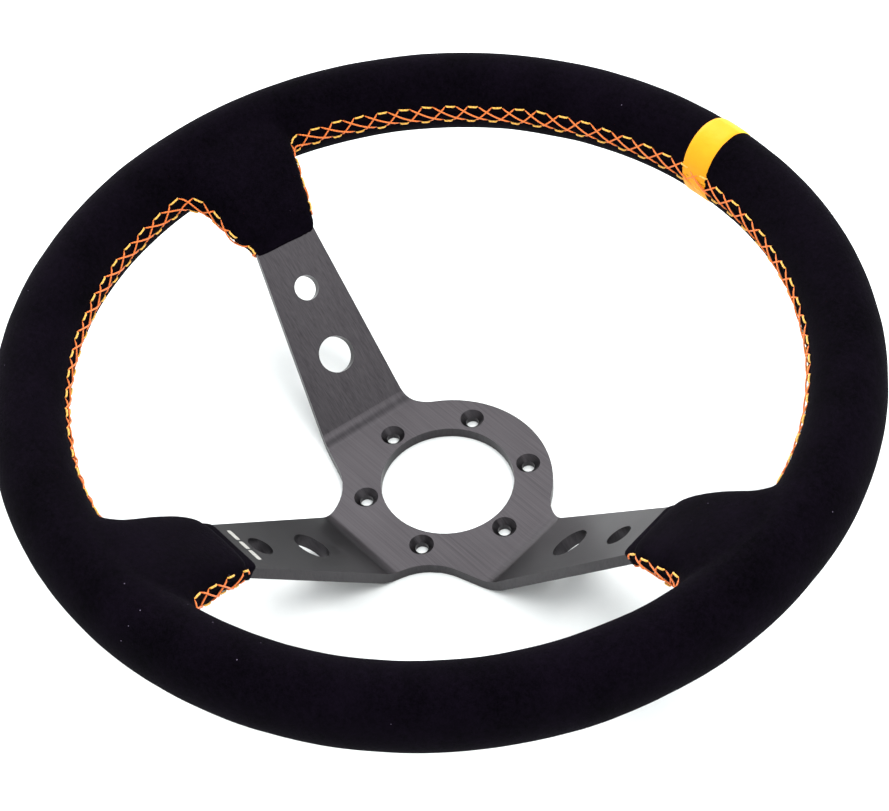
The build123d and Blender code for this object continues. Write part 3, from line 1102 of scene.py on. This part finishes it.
# ---- operators ----
class STEERING_OT_cover(bpy.types.Operator):
    """Builds the padded suede cover and its boots"""

    bl_idname = "steering.cover"
    bl_label = "Suede cover"

    def execute(self, context):
        sizes, cover = context.scene.wheel_sizes, context.scene.wheel_cover
        suede = suede_material(cover)
        piece = build_cover(sizes, cover, suede)
        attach(piece, "root")
        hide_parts("suede_cover", "rim_foam")
        for spoke in SPOKES:
            hem = build_hem(spoke, sizes, cover, suede)
            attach(hem, "root")
        return {"FINISHED"}


class STEERING_OT_lacing(bpy.types.Operator):
    """Laces the cover along its inner seam"""

    bl_idname = "steering.lacing"
    bl_label = "Lacing"

    def execute(self, context):
        sizes, cover = context.scene.wheel_sizes, context.scene.wheel_cover
        lacing = context.scene.wheel_lacing
        cloth = bpy.data.objects["suede_skin"]
        skin = Skin([cloth] + [bpy.data.objects["boot_hem_" + spoke] for spoke in SPOKES])
        materials = [thread_material("laced_thread", tuple(lacing.thread_colour)),
                     thread_material("tack_thread", tuple(lacing.tack_colour))]
        seams = {node: Seam(seam_line(sizes, skin, first, last), skin)
                 for node, (first, last, _, _) in RUNS.items()}
        for node, seam in seams.items():
            piece = build_lacing(node, seam, lacing, materials)
            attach(piece, "root")
            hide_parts(node)
        press_seam(cloth, list(seams.values()), cover, lacing)
        return {"FINISHED"}


class STEERING_OT_mark(bpy.types.Operator):
    """Wraps the coloured band round the rim at twelve o'clock"""

    bl_idname = "steering.mark"
    bl_label = "Centre mark"

    def execute(self, context):
        mark = context.scene.wheel_mark
        piece = build_mark(context.scene.wheel_sizes, context.scene.wheel_cover, mark,
                           mark_material(mark))
        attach(piece, "root")
        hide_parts("centre_mark")
        return {"FINISHED"}


class STEERING_OT_plate(bpy.types.Operator):
    """Finishes the spoke plate, ring and rivets, and etches the plain bars"""

    bl_idname = "steering.plate"
    bl_label = "Plate finish"

    def execute(self, context):
        plate = context.scene.wheel_plate
        finish_node("spoke_plate", brushed_material(plate))
        finish_node("rim_ring", bare_material("ring_steel", tuple(plate.bare)))
        finish_node("spoke_rivets", bare_material("rivet_metal", tuple(plate.bare)))
        bars = build_bars(context.scene.wheel_sizes, etched_material(plate))
        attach(bars, "root")
        return {"FINISHED"}


class STEERING_OT_stage(bpy.types.Operator):
    """Sets the floor, the lights and the camera"""

    bl_idname = "steering.stage"
    bl_label = "Stage"

    def execute(self, context):
        build_stage(context.scene.wheel_stage)
        return {"FINISHED"}


class STEERING_PT_panel(bpy.types.Panel):
    """Lists the wheel's settings and steps"""

    bl_idname = "STEERING_PT_panel"
    bl_label = "Steering wheel"
    bl_space_type = "VIEW_3D"
    bl_region_type = "UI"
    bl_category = "Steering Wheel"

    def draw(self, context):
        for name, kind in SETTING_GROUPS.items():
            box = self.layout.box()
            for key in kind.__annotations__:
                box.prop(getattr(context.scene, name), key)
        for operator in OPERATORS:
            self.layout.operator(operator.bl_idname)


OPERATORS = (STEERING_OT_cover, STEERING_OT_lacing, STEERING_OT_mark, STEERING_OT_plate,
             STEERING_OT_stage)


def register():
    """Registers settings, operators and panel."""
    for group in SETTING_GROUPS.values():
        bpy.utils.register_class(group)
    for name, group in SETTING_GROUPS.items():
        setattr(bpy.types.Scene, name, PointerProperty(type=group))
    for operator in (*OPERATORS, STEERING_PT_panel):
        bpy.utils.register_class(operator)


def unregister():
    """Takes away panel, operators and settings."""
    for operator in reversed((*OPERATORS, STEERING_PT_panel)):
        bpy.utils.unregister_class(operator)
    for name, group in SETTING_GROUPS.items():
        delattr(bpy.types.Scene, name)
        bpy.utils.unregister_class(group)


def main():
    """Builds every piece in order."""
    register()
    bpy.ops.steering.cover()
    bpy.ops.steering.lacing()
    bpy.ops.steering.mark()
    bpy.ops.steering.plate()
    bpy.ops.steering.stage()


if __name__ == "__main__":
    main()
